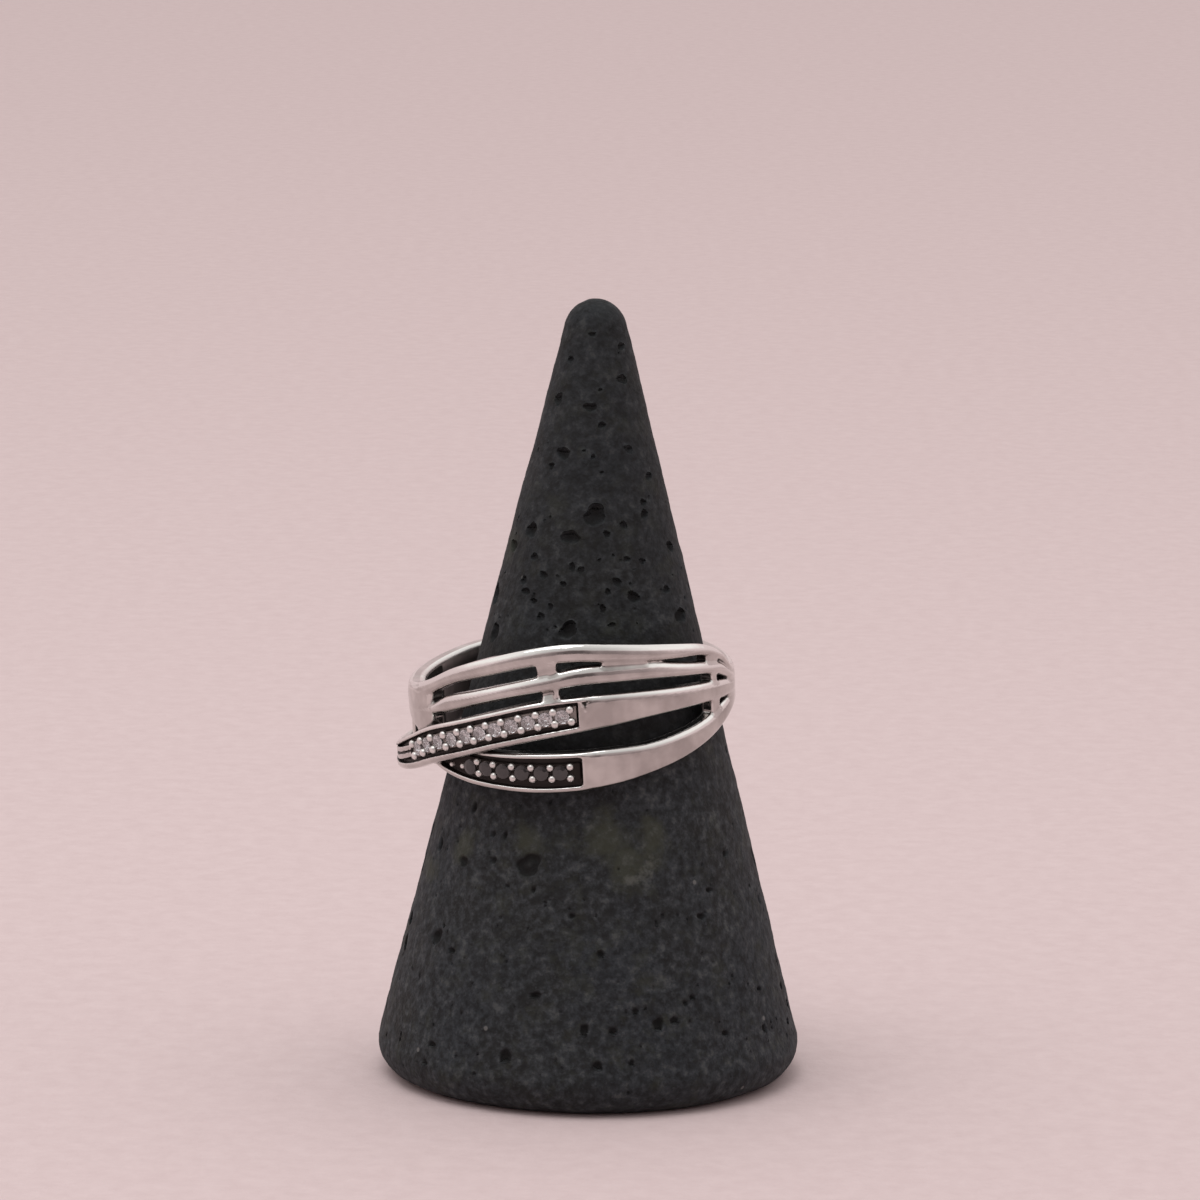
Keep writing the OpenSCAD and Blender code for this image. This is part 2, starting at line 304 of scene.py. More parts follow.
def tail_field(phi, r, z):
    """The plain strip behind the crossing band's last stone."""
    at = crossing_band, phi, r, z
    tail = strip_field(*at, TAIL_W, CHANNEL_DEEP + 0.2, PAVE_LOW, RIM_W + RIM_GAP, CROSSING_SHIFT,
                       TAIL_SPAN, CHANNEL_ROUND)
    groove = strip_field(*at, TAIL_GROOVE, TAIL_GROOVE + PAVE_LOW, OVER_FACE, 0, CROSSING_SHIFT,
                         TAIL_GROOVE_SPAN, FINE_MELT)
    return cut(tail, groove, FINE_MELT)


def ring_field(phi, r, z):
    """Distance to the ring's metal, at any angle."""
    phi = wrap_angle(phi)
    turn = np.where(phi < -40, phi + 360, phi)
    at = phi, r, z
    shoulders = union(band_field(shank, turn, r, z), band_field(plate, *at), MELT)
    rails = union(band_field(upper_rail, *at), band_field(second_rail, *at), MELT)
    channel = channel_field(lower_band, LOWER_SHIFT, LOWER_CHANNEL, *at, LOWER_CORNER)
    lower = cut(band_field(lower_band, *at), channel, CUT_MELT)
    body = union(union(shoulders, rails, MELT), lower, CROSS_MELT)
    body = union(body, band_field(crossing_band, *at), CROSS_MELT)
    for below, above, span, low in TIES:
        body = union(body, bar_field(below, above, *at, span, low), MELT)
    body = cut(body, channel_field(crossing_band, CROSSING_SHIFT, CROSSING_CHANNEL, *at), CUT_MELT)
    body = union(body, tail_field(*at), FINE_MELT)
    body = cut(body, nick_field(*at), FINE_MELT)
    return common(body, BORE_R - r, BORE_MELT)


def nick_field(phi, r, z):
    """A three-cornered nick, wide at the top, that gets narrower as it deepens."""
    angle, height, half, deep = NICK
    x = (phi - angle) * DEG * (BORE_R + WALL)
    y = z - crossing_band.at(phi)[0] - height
    down = (crossing_band.face(phi) - r) * half / deep
    sides = np.maximum(np.maximum(0.9 * x - 0.44 * y, -0.9 * x - 0.44 * y), y)
    return 0.55 * (sides - 0.6 * half + down)


def gradient(field, phi, r, z, h=0.012):
    """Gradient along the ring, outward and up."""
    turn = h / (r * DEG)
    along = field(phi + turn, r, z) - field(phi - turn, r, z)
    out = field(phi, r + h, z) - field(phi, r - h, z)
    up = field(phi, r, z + h) - field(phi, r, z - h)
    return np.stack([along, out, up], 1) / (2 * h)


def move(phi, r, z, step):
    """Points moved along the ring, outward and up."""
    return phi + step[:, 0] / (r * DEG), r + step[:, 1], z + step[:, 2]


def wrap_angle(phi):
    return (phi + 180) % 360 - 180


def cut_edges(field, axis):
    """Grid edges along an axis that the surface cuts: their starts, the cuts, if its outside is ahead."""
    a, b = np.delete(field, -1, axis), np.delete(field, 0, axis)
    crossing = (a < 0) != (b < 0)
    at = np.argwhere(crossing)
    a, b = a[crossing], b[crossing]
    point = at.astype(float)
    point[:, axis] += a / (a - b)
    return at, point, a < 0


def net(field, wrap):
    """Surface net of a sampled field: points in grid units and quads. Axis 0 may be a closed turn."""
    if wrap:
        field = np.concatenate([field, field[:1]])
    cells = np.array(field.shape) - 1
    total = np.zeros((int(np.prod(cells)), 3))
    count = np.zeros(len(total))
    quads = []
    for axis in range(3):
        at, point, ahead = cut_edges(field, axis)
        others = [x for x in range(3) if x != axis]
        ids, inner = [], np.ones(len(at), bool)
        for step in ((-1, -1), (0, -1), (0, 0), (-1, 0)):
            cell = at.copy()
            cell[:, others] += step
            within = (cell >= 0) & (cell < cells)
            ok = within.all(1)
            ids.append(np.ravel_multi_index(cell.T, tuple(cells), mode=("wrap", "clip", "clip")))
            np.add.at(total, ids[-1][ok], point[ok])
            np.add.at(count, ids[-1][ok], 1)
            inner &= within[:, 1:].all(1) if wrap else ok
        if wrap and axis != 0:
            inner &= at[:, 0] < cells[0]
        quad = np.stack(ids, 1)
        turned = ahead == (axis == 1)
        quad[turned] = quad[turned][:, ::-1]
        quads.append(quad[inner])
    used, index = np.unique(np.concatenate(quads), return_inverse=True)
    return total[used] / count[used][:, None], index.reshape(-1, 4)


def settle(field, phi, r, z, most):
    """Moves the points of a net onto the zero surface and returns them with their normals."""
    for _ in range(3):
        slope = gradient(field, phi, r, z)
        length2 = np.maximum((slope ** 2).sum(1), 0.05)
        step = np.clip(field(phi, r, z) / length2, -most, most)
        phi, r, z = move(phi, r, z, -slope * step[:, None])
    slope = gradient(field, phi, r, z)
    return phi, r, z, slope / np.linalg.norm(slope, axis=1)[:, None]


def ring_turn():
    """Turn of the ring where it hangs on the cone."""
    a, b = RING_LEAN * DEG, -RING_ROLL * DEG
    rx = np.array([[1, 0, 0], [0, math.cos(a), -math.sin(a)], [0, math.sin(a), math.cos(a)]])
    ry = np.array([[math.cos(b), 0, math.sin(b)], [0, 1, 0], [-math.sin(b), 0, math.cos(b)]])
    return ry @ rx


def ring_to_world(phi, r, z):
    p = np.stack([r * np.sin(phi * DEG), -r * np.cos(phi * DEG), z], 1)
    return p @ ring_turn().T + RING_AT


def hollow(phi, r, z, normal):
    """How hidden each point is: 0 on open metal, 1 deep in a recess. It darkens the colour there: oxide,
    and painted shade.
    """
    seen = 0
    for away, share in ((0.12, 0.3), (0.35, 0.4), (0.8, 0.3)):
        seen = seen + share * np.clip(ring_field(*move(phi, r, z, normal * away)) / away, 0, 1)
    return np.clip(1 - seen, 0, 1)


def bend(phi, r, z, h=0.05):
    """Curvature in 1/mm: high on an outer edge, about 0 on a flat face."""
    turn = h / (r * DEG)
    total = -6 * ring_field(phi, r, z)
    for dp, dr, dz in ((turn, 0, 0), (-turn, 0, 0), (0, h, 0), (0, -h, 0), (0, 0, h), (0, 0, -h)):
        total = total + ring_field(phi + dp, r + dr, z + dz)
    return total / h ** 2


def channel_oxide_and_shade(phi, r, z):
    """1 on the walls and floor of a stone channel, 0 elsewhere. They are made dark: oxide, and painted
    shade.
    """
    found = np.zeros(len(phi))
    for band, shift, span in ((crossing_band, CROSSING_SHIFT, CROSSING_CHANNEL),
                              (lower_band, LOWER_SHIFT, LOWER_CHANNEL)):
        below = ease((band.face(phi) - r - 0.08) / 0.08)
        near = ease(1.6 - channel_field(band, shift, span, phi, r, z) / 0.05)
        found = np.maximum(found, below * near)
    return found


def nick_painted_shade(phi, r, z):
    """1 on the walls of the nick, 0 elsewhere. They get painted shade."""
    below = ease((crossing_band.face(phi) - r - 0.05) / 0.05)
    return below * ease(1.6 - np.abs(nick_field(phi, r, z)) / 0.04)


def gap_painted_shade(phi, r, z, normal):
    """1 on the sides of the gaps in both shoulders, 0 elsewhere. They get painted shade."""
    left, right = (ease((phi - low) / 3) * ease((high - phi) / 3) for low, high in GAPS)
    low = ease((GAP_TOP - z) / 0.2) * ease((GAP_R - r) / 0.1)
    return np.maximum(left, right) * low * ease((0.5 - normal[:, 1]) / 0.2)


def shade_ring(obj, phi, r, z, normal):
    """Attributes for the silver: recess darkens hollows with oxide and painted shade, in full on the sides
    of the gaps, in the nick and in the channels; edge lightens the edges that face up, rubbed bright and a
    painted highlight; inside is painted shade in the bore.
    """
    hidden = hollow(phi, r, z, normal)
    # Only edges that face up get lighter: wear, and a painted highlight of the light from above
    rubbed_and_lit = ease((bend(phi, r, z) - 0.7) / 1.6) * ease(0.5 + normal[:, 2])
    phi = wrap_angle(phi)
    for found in (gap_painted_shade(phi, r, z, normal), nick_painted_shade(phi, r, z), channel_oxide_and_shade(phi, r, z)):
        hidden = np.maximum(hidden, found)
    # Painted shade in the bore, fuller lower down
    deep = 0.1 + 0.9 * ease((1.05 - z) / 0.6)
    add_attribute(obj, "recess", hidden)
    add_attribute(obj, "edge", rubbed_and_lit)
    add_attribute(obj, "inside", deep * ease((9.16 - r) / 0.14))


# Grid that the ring's surface is found on: steps round the ring, cell, and reach outward and up
RING_STEPS = 400
RING_CELL = 0.076
RING_REACH = (8.78, 11.14)
RING_HEIGHTS = (-4.35, 5.6)


def build_ring():
    phi = -180 + np.arange(RING_STEPS) * 360 / RING_STEPS
    r = np.arange(*RING_REACH, RING_CELL)
    z = np.arange(*RING_HEIGHTS, RING_CELL)
    field = ring_field(phi[:, None, None], r[None, :, None], z[None, None, :])
    points, quads = net(field, True)
    at = (phi[0] + points[:, 0] * 360 / RING_STEPS, r[0] + points[:, 1] * RING_CELL,
          z[0] + points[:, 2] * RING_CELL)
    phi, r, z, normal = settle(ring_field, *at, 0.03)
    obj = make_mesh("ring_metal", ring_to_world(phi, r, z), quads)
    shade_ring(obj, phi, r, z, normal)
    return obj


# Stones and their settings

class Row:
    """A row of stones: its band, span, shift and the beads as (angle, offset across, radius)."""

    def __init__(self, band, span, shift, beads, stones, stone_r):
        self.band, self.span, self.shift = band, span, shift
        self.beads, self.stones, self.stone_r = beads, stones, stone_r

    def place(self, phi, across, low):
        """Ring coordinates of a point across the row, low below the band's face."""
        mid, _, _, lean = self.band.at(phi)
        rise = np.interp(phi, self.band.a, self.band.rise)
        face = self.band.face(phi)
        return phi - across * rise * lean / (face * DEG), face - low, mid + self.shift + across * lean

    def axes(self, phi):
        """Along, across and out at an angle, in the world's directions."""
        rise = float(np.interp(phi, self.band.a, self.band.rise))
        lean = 1 / math.sqrt(1 + rise * rise)
        sine, cosine = math.sin(phi * DEG), math.cos(phi * DEG)
        turn = ring_turn()
        along, out, up = turn @ (cosine, sine, 0), turn @ (sine, -cosine, 0), turn[:, 2]
        return along * lean + up * rise * lean, up * lean - along * rise * lean, out


# Seed for the stones' turns and tilts
STONE_SEED = 5
# Sizes of beads, bed and stones. Low is a depth below the band's face
BEAD_R = 0.265
LOWER_BEAD_R = 0.235
BEAD_LOW = 0.165
BED_LOW = 0.22
BED_W = 1.06
STONE_R = 0.44
LOWER_STONE_R = 0.45
GIRDLE = 0.03
GIRDLE_LOW = 0.08
PAVILION = 0.335
SEAT_DEEP = 0.345
CROWN_H = 0.085
# Angles of the crossing row's pairs of beads, with a stone between each two, and of the lower row's beads
# and stones. The last two beads also have an offset across the row and a radius
CROSSING_PAIRS = (-0.2, -6.0, -12.0, -18.0, -24.2, -30.0, -36.0, -41.8, -48.2, -54.8, -60.6, -66.0)
LOWER_UPPER_BEADS = (-1.4, -8.4, -15.3, -22.5, -29.7, -36.4)
LOWER_LOWER_BEADS = (-1.5, -8.0, -14.9, -22.1, -29.5, -35.6)
LOWER_LAST_BEADS = ((-42.9, -0.2, 0.19), (-48.2, -0.38, 0.17))
LOWER_STONES = (-4.9, -11.7, -18.7, -25.9, -32.7, -39.4)

crossing_row = Row(
    crossing_band, CROSSING_ROW, CROSSING_SHIFT,
    [(a, s * 0.365, BEAD_R) for a in CROSSING_PAIRS for s in (-1, 1)],
    [((a + b) / 2, 0.0) for a, b in zip(CROSSING_PAIRS, CROSSING_PAIRS[1:])], STONE_R)
lower_row = Row(
    lower_band, LOWER_ROW, LOWER_SHIFT,
    [(a, 0.34, LOWER_BEAD_R) for a in LOWER_UPPER_BEADS]
    + [(a, -0.36, LOWER_BEAD_R) for a in LOWER_LOWER_BEADS] + list(LOWER_LAST_BEADS),
    [(a, 0.0) for a in LOWER_STONES[:-1]] + [(LOWER_STONES[-1], -0.1)], LOWER_STONE_R)
# Grid that the settings are found on: its cell, its radius, and its reach under the channel, over the face
# and across
SETTING_CELL = 0.042
SETTING_R = 10.1
GRID_UNDER = 0.1
GRID_OVER = 0.2
GRID_ACROSS = 0.8


def setting_field(row, cover):
    """Distance to the bed that holds a row of stones, with its seats and beads."""
    def field(phi, r, z):
        body = strip_field(row.band, phi, r, z, BED_W, CHANNEL_DEEP + 0.05, BED_LOW, RIM_W + RIM_GAP,
                           row.shift, (row.span[0] + 0.1, row.span[1] - 0.6), 0.06)
        for a, across in row.stones:
            p, q, s = row.place(a, across, GIRDLE_LOW)
            side = np.hypot((phi - p) * DEG * q, z - s)
            cone = (side - row.stone_r - 0.015 - (r - q) * row.stone_r / SEAT_DEEP) * 0.42
            body = cut(body, cone, 0.02)
        for a, across, size in row.beads:
            p, q, s = row.place(a, across, BEAD_LOW)
            ball = np.sqrt(((phi - p) * DEG * q) ** 2 + (r - q) ** 2 + (z - s) ** 2) - size
            body = union(body, ball, 0.05)
        if cover is not None:
            mid, half, _, _ = cover.at(phi)
            body = common(body, z - (mid - half - 0.04), 0.03)
        floor = row.band.face(phi) - CHANNEL_DEEP
        return common(body, floor - r, 0.01)
    return field


def seat_painted_light(row, phi, z):
    """1 in the seats under the stones, 0 beside them. Kept light there, this is painted light for the
    stones above.
    """
    found = np.zeros(len(phi))
    for a, across in row.stones:
        p, q, s = row.place(a, across, GIRDLE_LOW)
        side = np.hypot((phi - p) * DEG * q, z - s)
        found = np.maximum(found, ease((row.stone_r + 0.02 - side) / 0.06))
    return found


def build_setting(name, row, cover=None):
    turn = SETTING_CELL / (SETTING_R * DEG)
    phi = np.arange(row.span[0] - 1, row.span[1] + 1, turn)
    low = np.arange(-CHANNEL_DEEP - GRID_UNDER, GRID_OVER, SETTING_CELL)
    wide = np.arange(-GRID_ACROSS, GRID_ACROSS, SETTING_CELL)
    face = row.band.face(phi)
    mid = row.band.at(phi)[0] + row.shift
    field = setting_field(row, cover)
    grid = field(phi[:, None, None], face[:, None, None] + low[None, :, None],
                 mid[:, None, None] + wide[None, None, :])
    points, quads = net(grid, False)
    p = phi[0] + points[:, 0] * turn
    q = row.band.face(p) + low[0] + points[:, 1] * SETTING_CELL
    s = row.band.at(p)[0] + row.shift + wide[0] + points[:, 2] * SETTING_CELL
    p, q, s, normal = settle(field, p, q, s, 0.02)
    obj = make_mesh(name, ring_to_world(p, q, s), quads)
    above = row.band.face(p) - q
    # Dark deep in the bed: oxide, and painted shade; the seats under the stones are kept light, painted
    # light for the stones
    add_attribute(obj, "recess", ease((above - 0.15) / 0.09) * (1 - 0.85 * seat_painted_light(row, p, s)))
    # Lighter where the beads stand above the face: rubbed bright, and a painted highlight
    add_attribute(obj, "edge", 1 - ease((above + 0.02) / 0.12))
    return obj


def brilliant(radius, spin):
    """A round brilliant's points and faces, girdle at height 0 and table up."""
    eighth = math.pi / 4

    def ring(n, r, z, turn):
        return [(r * math.cos(spin + turn + k * TAU / n),
                 r * math.sin(spin + turn + k * TAU / n), z) for k in range(n)]

    points = (ring(8, 0.55 * radius, CROWN_H, 0) + ring(8, 0.8 * radius, 0.52 * CROWN_H, eighth / 2)
              + ring(16, radius, GIRDLE / 2, 0) + ring(16, radius, -GIRDLE / 2, 0)
              + ring(8, 0.42 * radius, -0.66 * PAVILION, eighth / 2) + [(0, 0, -PAVILION)])
    table, star, top, bottom, belly, tip = 0, 8, 16, 32, 48, 56
    faces = [tuple(range(8))]
    for i in range(8):
        j = (i + 1) % 8
        g, h, k = 2 * i, 2 * i + 1, (2 * i + 2) % 16
        before = (i - 1) % 8
        faces += [(table + i, star + i, table + j), (table + i, star + before, top + g, star + i),
                  (star + i, top + g, top + h), (star + i, top + h, top + k),
                  (bottom + g, belly + i, bottom + h), (bottom + h, belly + i, bottom + k),
                  (bottom + g, belly + before, tip, belly + i)]
    for g, k in zip(range(16), (*range(1, 16), 0)):
        faces.append((top + g, bottom + g, bottom + k, top + k))
    return points, faces


def build_stones(name, row, rng):
    points, faces = [], []
    for a, across in row.stones:
        local, local_faces = brilliant(row.stone_r, rng.uniform(0, 1.5))
        along, over, out = row.axes(a)
        tilt = rng.normal(0, 0.04, 2)
        out = out + along * tilt[0] + over * tilt[1]
        out /= np.linalg.norm(out)
        along = along - out * (along @ out)
        along /= np.linalg.norm(along)
        over = np.cross(out, along)
        centre = ring_to_world(*(np.atleast_1d(v) for v in row.place(a, across, GIRDLE_LOW)))[0]
        start = len(points)
        points += [centre + along * x + over * y + out * z for x, y, z in local]
        faces += [tuple(start + k for k in f) for f in local_faces]
    return make_mesh(name, points, faces, smooth=False)


# Stone cone

CONE_SEED = 71
CONE_R = 13.5
CONE_APEX = 53.96
TIP_R = 1.93
FOOT_R = 1.94
PX_PER_MM = 16.4

# Pores seen on the front of the cone: pixel across, pixel down, width and height in pixels
PORES_SEEN = (
    (592, 334, 7, 5), (570, 359, 6, 6), (622, 346, 7, 7), (623, 379, 9, 10), (558, 399, 6, 15),
    (590, 407, 13, 9), (602, 425, 7, 7), (563, 453, 12, 13), (629, 449, 8, 8), (593, 457, 5, 5),
    (551, 465, 5, 5), (649, 476, 7, 7), (595, 515, 22, 21), (570, 537, 18, 14), (531, 530, 11, 14),
    (513, 545, 12, 11), (624, 525, 7, 8), (607, 534, 7, 7), (645, 514, 7, 8), (644, 502, 6, 6),
    (534, 557, 8, 7), (543, 575, 8, 8), (523, 580, 6, 8), (525, 591, 8, 7), (627, 559, 6, 6),
    (643, 561, 6, 6), (572, 567, 6, 9), (581, 570, 6, 8), (563, 584, 6, 6), (617, 582, 9, 8),
    (634, 597, 12, 12), (608, 592, 6, 6), (603, 609, 6, 9), (550, 607, 5, 8), (533, 601, 6, 6),
    (667, 589, 6, 8), (671, 546, 8, 11), (681, 615, 12, 15), (568, 630, 17, 18), (494, 632, 12, 18),
    (540, 617, 8, 8), (612, 625, 8, 5), (474, 807, 6, 12), (493, 834, 6, 8), (505, 835, 5, 9),
    (440, 844, 7, 14), (463, 861, 10, 12), (493, 860, 8, 8), (507, 886, 5, 5), (436, 936, 12, 18),
    (533, 890, 6, 8), (451, 950, 7, 7), (726, 853, 7, 9), (710, 890, 7, 7), (702, 916, 9, 9),
    (760, 899, 6, 12), (572, 916, 8, 8), (601, 954, 9, 9), (505, 1056, 15, 15), (584, 1030, 11, 13),
    (431, 1044, 8, 8), (423, 1062, 8, 8), (535, 995, 15, 7), (693, 997, 7, 7), (686, 1003, 6, 6),
    (636, 1011, 8, 8), (659, 1024, 13, 14), (675, 1020, 10, 10), (613, 1031, 10, 10),
    (598, 1066, 11, 11), (632, 1063, 8, 8), (726, 1033, 7, 7), (760, 988, 6, 6), (765, 1028, 6, 10),
)
# The pore with a lighter middle, seen below the ring
RING_PORE = (528.5, 865, 23, 23)
# Olive stains: pixel across and down, half width, half height
STAINS_SEEN = ((606, 838, 17, 26), (652, 838, 17, 26), (629, 864, 18, 24), (527, 841, 14, 14),
               (463, 846, 12, 16))
# Light scuffs, in the same way
SCUFFS_SEEN = ((631, 881, 9, 5), (643, 874, 8, 6), (652, 864, 6, 8))
# From this pixel down the pores are worn, a little shallower and softer, and their painted shade is darker
RING_FOOT = 780
WORN_DEPTH = 0.95
WORN_PORE_SHADE = 3.2
# Half the angle in front where the photograph gives the pores, and how many others there are
SEEN_TO = 1.35
SIDE_PORES = 165
TINY_PORES = 420
# Distance between the mesh's loose points, and its rings round a pore as shares of the way to the rim
CONE_GAP = 0.235
PORE_RINGS = (0.3, 0.55, 0.75, 0.88, 0.96, 1.04, 1.18)
TINY_RINGS = (0.45, 0.86, 1.0, 1.18)
# Points round the flat foot, and strewn inside it to a radius
RIM_POINTS = 288
FOOT_POINTS = 420
FOOT_REACH = 10.6
# Painted shadow of the ring on the cone, by height over the ring's middle, and the height where the cone
# starts to be darker
RING_SHADOW_MIDDLE = 0.9
RING_SHADOW_REACH = 4.6
DUSKY_FROM = 27


def camera_frame():
    """The camera's right, up and forward directions, and its place."""
    e, roll = CAM_ELEVATION * DEG, CAM_ROLL * DEG
    forward = np.array([0, math.cos(e), -math.sin(e)])
    up = np.array([0, math.sin(e), math.cos(e)])
    right = np.array([1.0, 0, 0])
    eye = np.array(CAM_TARGET) - forward * CAM_DISTANCE
    across = right * math.cos(roll) + up * math.sin(roll)
    over = up * math.cos(roll) - right * math.sin(roll)
    return across, over, forward, eye


def on_cone(px, py):
    """Angle and height of the cone's point that is seen at a pixel."""
    across, over, forward, eye = camera_frame()
    half = PHOTO_SIZE / 2
    ray = forward + across * (px - half) / CAM_FOCAL_PX - over * (py - half) / CAM_FOCAL_PX
    k = CONE_R / CONE_APEX
    a = ray[0] ** 2 + ray[1] ** 2 - (k * ray[2]) ** 2
    b = 2 * (eye[0] * ray[0] + eye[1] * ray[1] + k * k * (CONE_APEX - eye[2]) * ray[2])
    c = eye[0] ** 2 + eye[1] ** 2 - (k * (CONE_APEX - eye[2])) ** 2
    under = max(b * b - 4 * a * c, 0)
    p = eye + ray * (-b - math.sqrt(under)) / (2 * a)
    return math.atan2(p[0], -p[1]), p[2]


class Outline:
    """The cone's half outline by the length along it from the tip, with a conformal radius."""

    def __init__(self):
        half = math.atan(CONE_R / CONE_APEX)
        tip_z = CONE_APEX - TIP_R / math.sin(half)
        foot_x = CONE_R - FOOT_R * (math.tan(half) + 1 / math.cos(half))
        dome = np.linspace(math.pi / 2, half, 200)
        foot = np.linspace(half, -math.pi / 2, 200)
        r = np.concatenate([TIP_R * np.cos(dome), foot_x + FOOT_R * np.cos(foot)])
        z = np.concatenate([tip_z + TIP_R * np.sin(dome), FOOT_R + FOOT_R * np.sin(foot)])
        lean = np.concatenate([dome, foot])
        r[0] = 0
        s = np.concatenate([[0], np.cumsum(np.hypot(np.diff(r), np.diff(z)))])
        self.length = s[-1]
        self.s = np.concatenate([[0], np.geomspace(0.01, self.length, 12000)])
        self.r, self.z = np.interp(self.s, s, r), np.interp(self.s, s, z)
        angle = np.interp(self.s, s, lean)
        self.out, self.up = np.cos(angle), np.sin(angle)
        one_by_r = 1 / self.r[1:]
        steps = np.diff(self.s[1:]) * (one_by_r[1:] + one_by_r[:-1]) / 2
        log_r = np.concatenate([[0], np.cumsum(steps)])
        self.flat = np.concatenate([[0], np.exp(log_r - log_r[-1])])

    def at(self, s):
        return tuple(np.interp(s, self.s, v) for v in (self.r, self.z, self.out, self.up))

    def radius(self, s):
        return np.interp(s, self.s, self.r)

    def length_at(self, z):
        """Length along the outline at a height of the straight side."""
        return np.interp(-z, -self.z, self.s)

    def plane(self, theta, s):
        rho = np.interp(s, self.s, self.flat)
        return np.stack([rho * np.cos(theta), rho * np.sin(theta)], 1)


class Pore:
    """An open pore: its place, half sizes, depth and the waves in its rim."""

    def __init__(self, rng, theta, s, wide, tall, depth, hump=0.0, dark=1.0, worn_and_shaded=False):
        self.theta, self.s, self.wide, self.tall = theta, s, wide, tall
        self.depth, self.hump, self.dark, self.worn_and_shaded = depth, hump, dark, worn_and_shaded
        self.waves = rng.uniform(0, 6.28, 3)

    def rim(self, angle):
        a, b, c = self.waves
        waves = 0.11 * np.sin(2 * angle + a) + 0.08 * np.sin(3 * angle + b)
        return 1 + waves + 0.05 * np.sin(5 * angle + c)

    def share(self, outline, theta, s):
        """0 at the middle, 1 at the rim."""
        turn = (theta - self.theta + math.pi) % (TAU) - math.pi
        x = turn * outline.radius(self.s) / self.wide
        y = (s - self.s) / self.tall
        return np.hypot(x, y) / self.rim(np.arctan2(y, x))


def place_seen(outline, px, py, w, h):
    """Angle, length along the outline and half sizes of a pore that is seen at a pixel."""
    theta, z = on_cone(px, py)
    wide, tall = w / PX_PER_MM / 2, h / PX_PER_MM / 2
    return theta, outline.length_at(z), min(wide / max(math.cos(theta), 0.45), 1.5 * wide), tall


def seen_pores(outline, rng):
    """The pores that the photograph shows in front."""
    pores = []
    for px, py, w, h in PORES_SEEN:
        theta, s, wide, tall = place_seen(outline, px, py, w, h)
        size = (wide + tall) / 2
        depth = 0.07 + 0.58 * size
        # Painted shade in the pore, stronger for bigger ones
        dark = float(np.clip(0.22 + 2.0 * (size - 0.14), 0.22, 1.0))
        worn_and_shaded = py > RING_FOOT
        if worn_and_shaded:
            depth, dark = WORN_DEPTH * depth, WORN_PORE_SHADE * dark
        pores.append(Pore(rng, theta, s, wide, tall, depth, dark=dark, worn_and_shaded=worn_and_shaded))
    pores.append(Pore(rng, *place_seen(outline, *RING_PORE), 0.34, hump=0.75, dark=2.4))
    return pores


def add_side_pores(outline, pores, rng):
    """Adds pores on the sides and at the back, clear of the others."""
    full = len(pores) + SIDE_PORES
    while len(pores) < full:
        s = math.sqrt(rng.uniform(0.02, 1)) * (outline.length - 2.2)
        theta = rng.uniform(-math.pi, math.pi)
        size = min(0.16 + 0.11 * rng.gamma(1.4, 1.0), 0.62)
        if abs(theta) < SEEN_TO or s < 2.5:
            continue
        r = outline.radius(s)
        if any(math.hypot((theta - p.theta) * r, s - p.s) < size + p.wide + 0.35 for p in pores):
            continue
        wide, tall = size * rng.uniform(0.8, 1.15), size * rng.uniform(0.85, 1.3)
        pores.append(Pore(rng, theta, s, wide, tall, 0.15 + 0.9 * size))


def add_tiny_pores(outline, pores, rng):
    """Adds pinholes all over the cone."""
    for _ in range(TINY_PORES):
        s = math.sqrt(rng.uniform(0.005, 1)) * (outline.length - 1.0)
        theta = rng.uniform(-math.pi, math.pi)
        size = rng.uniform(0.06, 0.13)
        tall, depth = size * rng.uniform(0.8, 1.3), size * rng.uniform(0.5, 1.0)
        pores.append(Pore(rng, theta, s, size, tall, depth))


def loose_points(outline, rng):
    """Angle and length of loose points in rows all over the cone."""
    theta, s = [np.zeros(1)], [np.zeros(1)]
    rows = np.arange(CONE_GAP * 0.9, outline.length - CONE_GAP * 0.45, CONE_GAP * 0.87)
    for k, row in enumerate(rows):
        n = max(6, int(round(TAU * outline.radius(row) / CONE_GAP)))
        theta.append((np.arange(n) + 0.5 * (k % 2) + rng.uniform(-0.24, 0.24, n)) * TAU / n)
        s.append(row + rng.uniform(-0.22, 0.22, n) * CONE_GAP)
    theta, s = np.concatenate(theta), np.concatenate(s)
    return (theta + math.pi) % (TAU) - math.pi, s


def pore_points(outline, pore, rng):
    """Angle and length of a point in a pore's middle and of rings round it."""
    r = outline.radius(pore.s)
    size = max(pore.wide, pore.tall)
    rings = [np.array([[pore.theta, pore.s]])]
    for share in TINY_RINGS if size < 0.14 else PORE_RINGS:
        n = int(np.clip(TAU * size * share / 0.095, 6, 40))
        angle = (np.arange(n) + rng.uniform(0, 1)) * TAU / n
        reach = share * pore.rim(angle)
        rings.append(np.stack([pore.theta + pore.wide * reach * np.cos(angle) / r,
                               pore.s + pore.tall * reach * np.sin(angle)], 1))
    return np.concatenate(rings)


def cone_points(outline, pores, rng):
    """Angle and length of every point. The last ones lie round the flat foot."""
    theta, s = loose_points(outline, rng)
    keep = np.ones(len(theta), bool)
    added = []
    for pore in pores:
        near = np.nonzero(np.abs(s - pore.s) < 2 * max(pore.wide, pore.tall))[0]
        keep[near[pore.share(outline, theta[near], s[near]) < 1.28]] = False
        added.append(pore_points(outline, pore, rng))
    loose = np.stack([theta[keep], s[keep]], 1)
    added = np.concatenate(added)
    added = added[(added[:, 1] > 0.2) & (added[:, 1] < outline.length - CONE_GAP * 0.5)]
    turn = np.arange(RIM_POINTS) * TAU / RIM_POINTS
    rim = np.stack([turn, np.full(RIM_POINTS, outline.length)], 1)
    return np.concatenate([loose, added, rim])


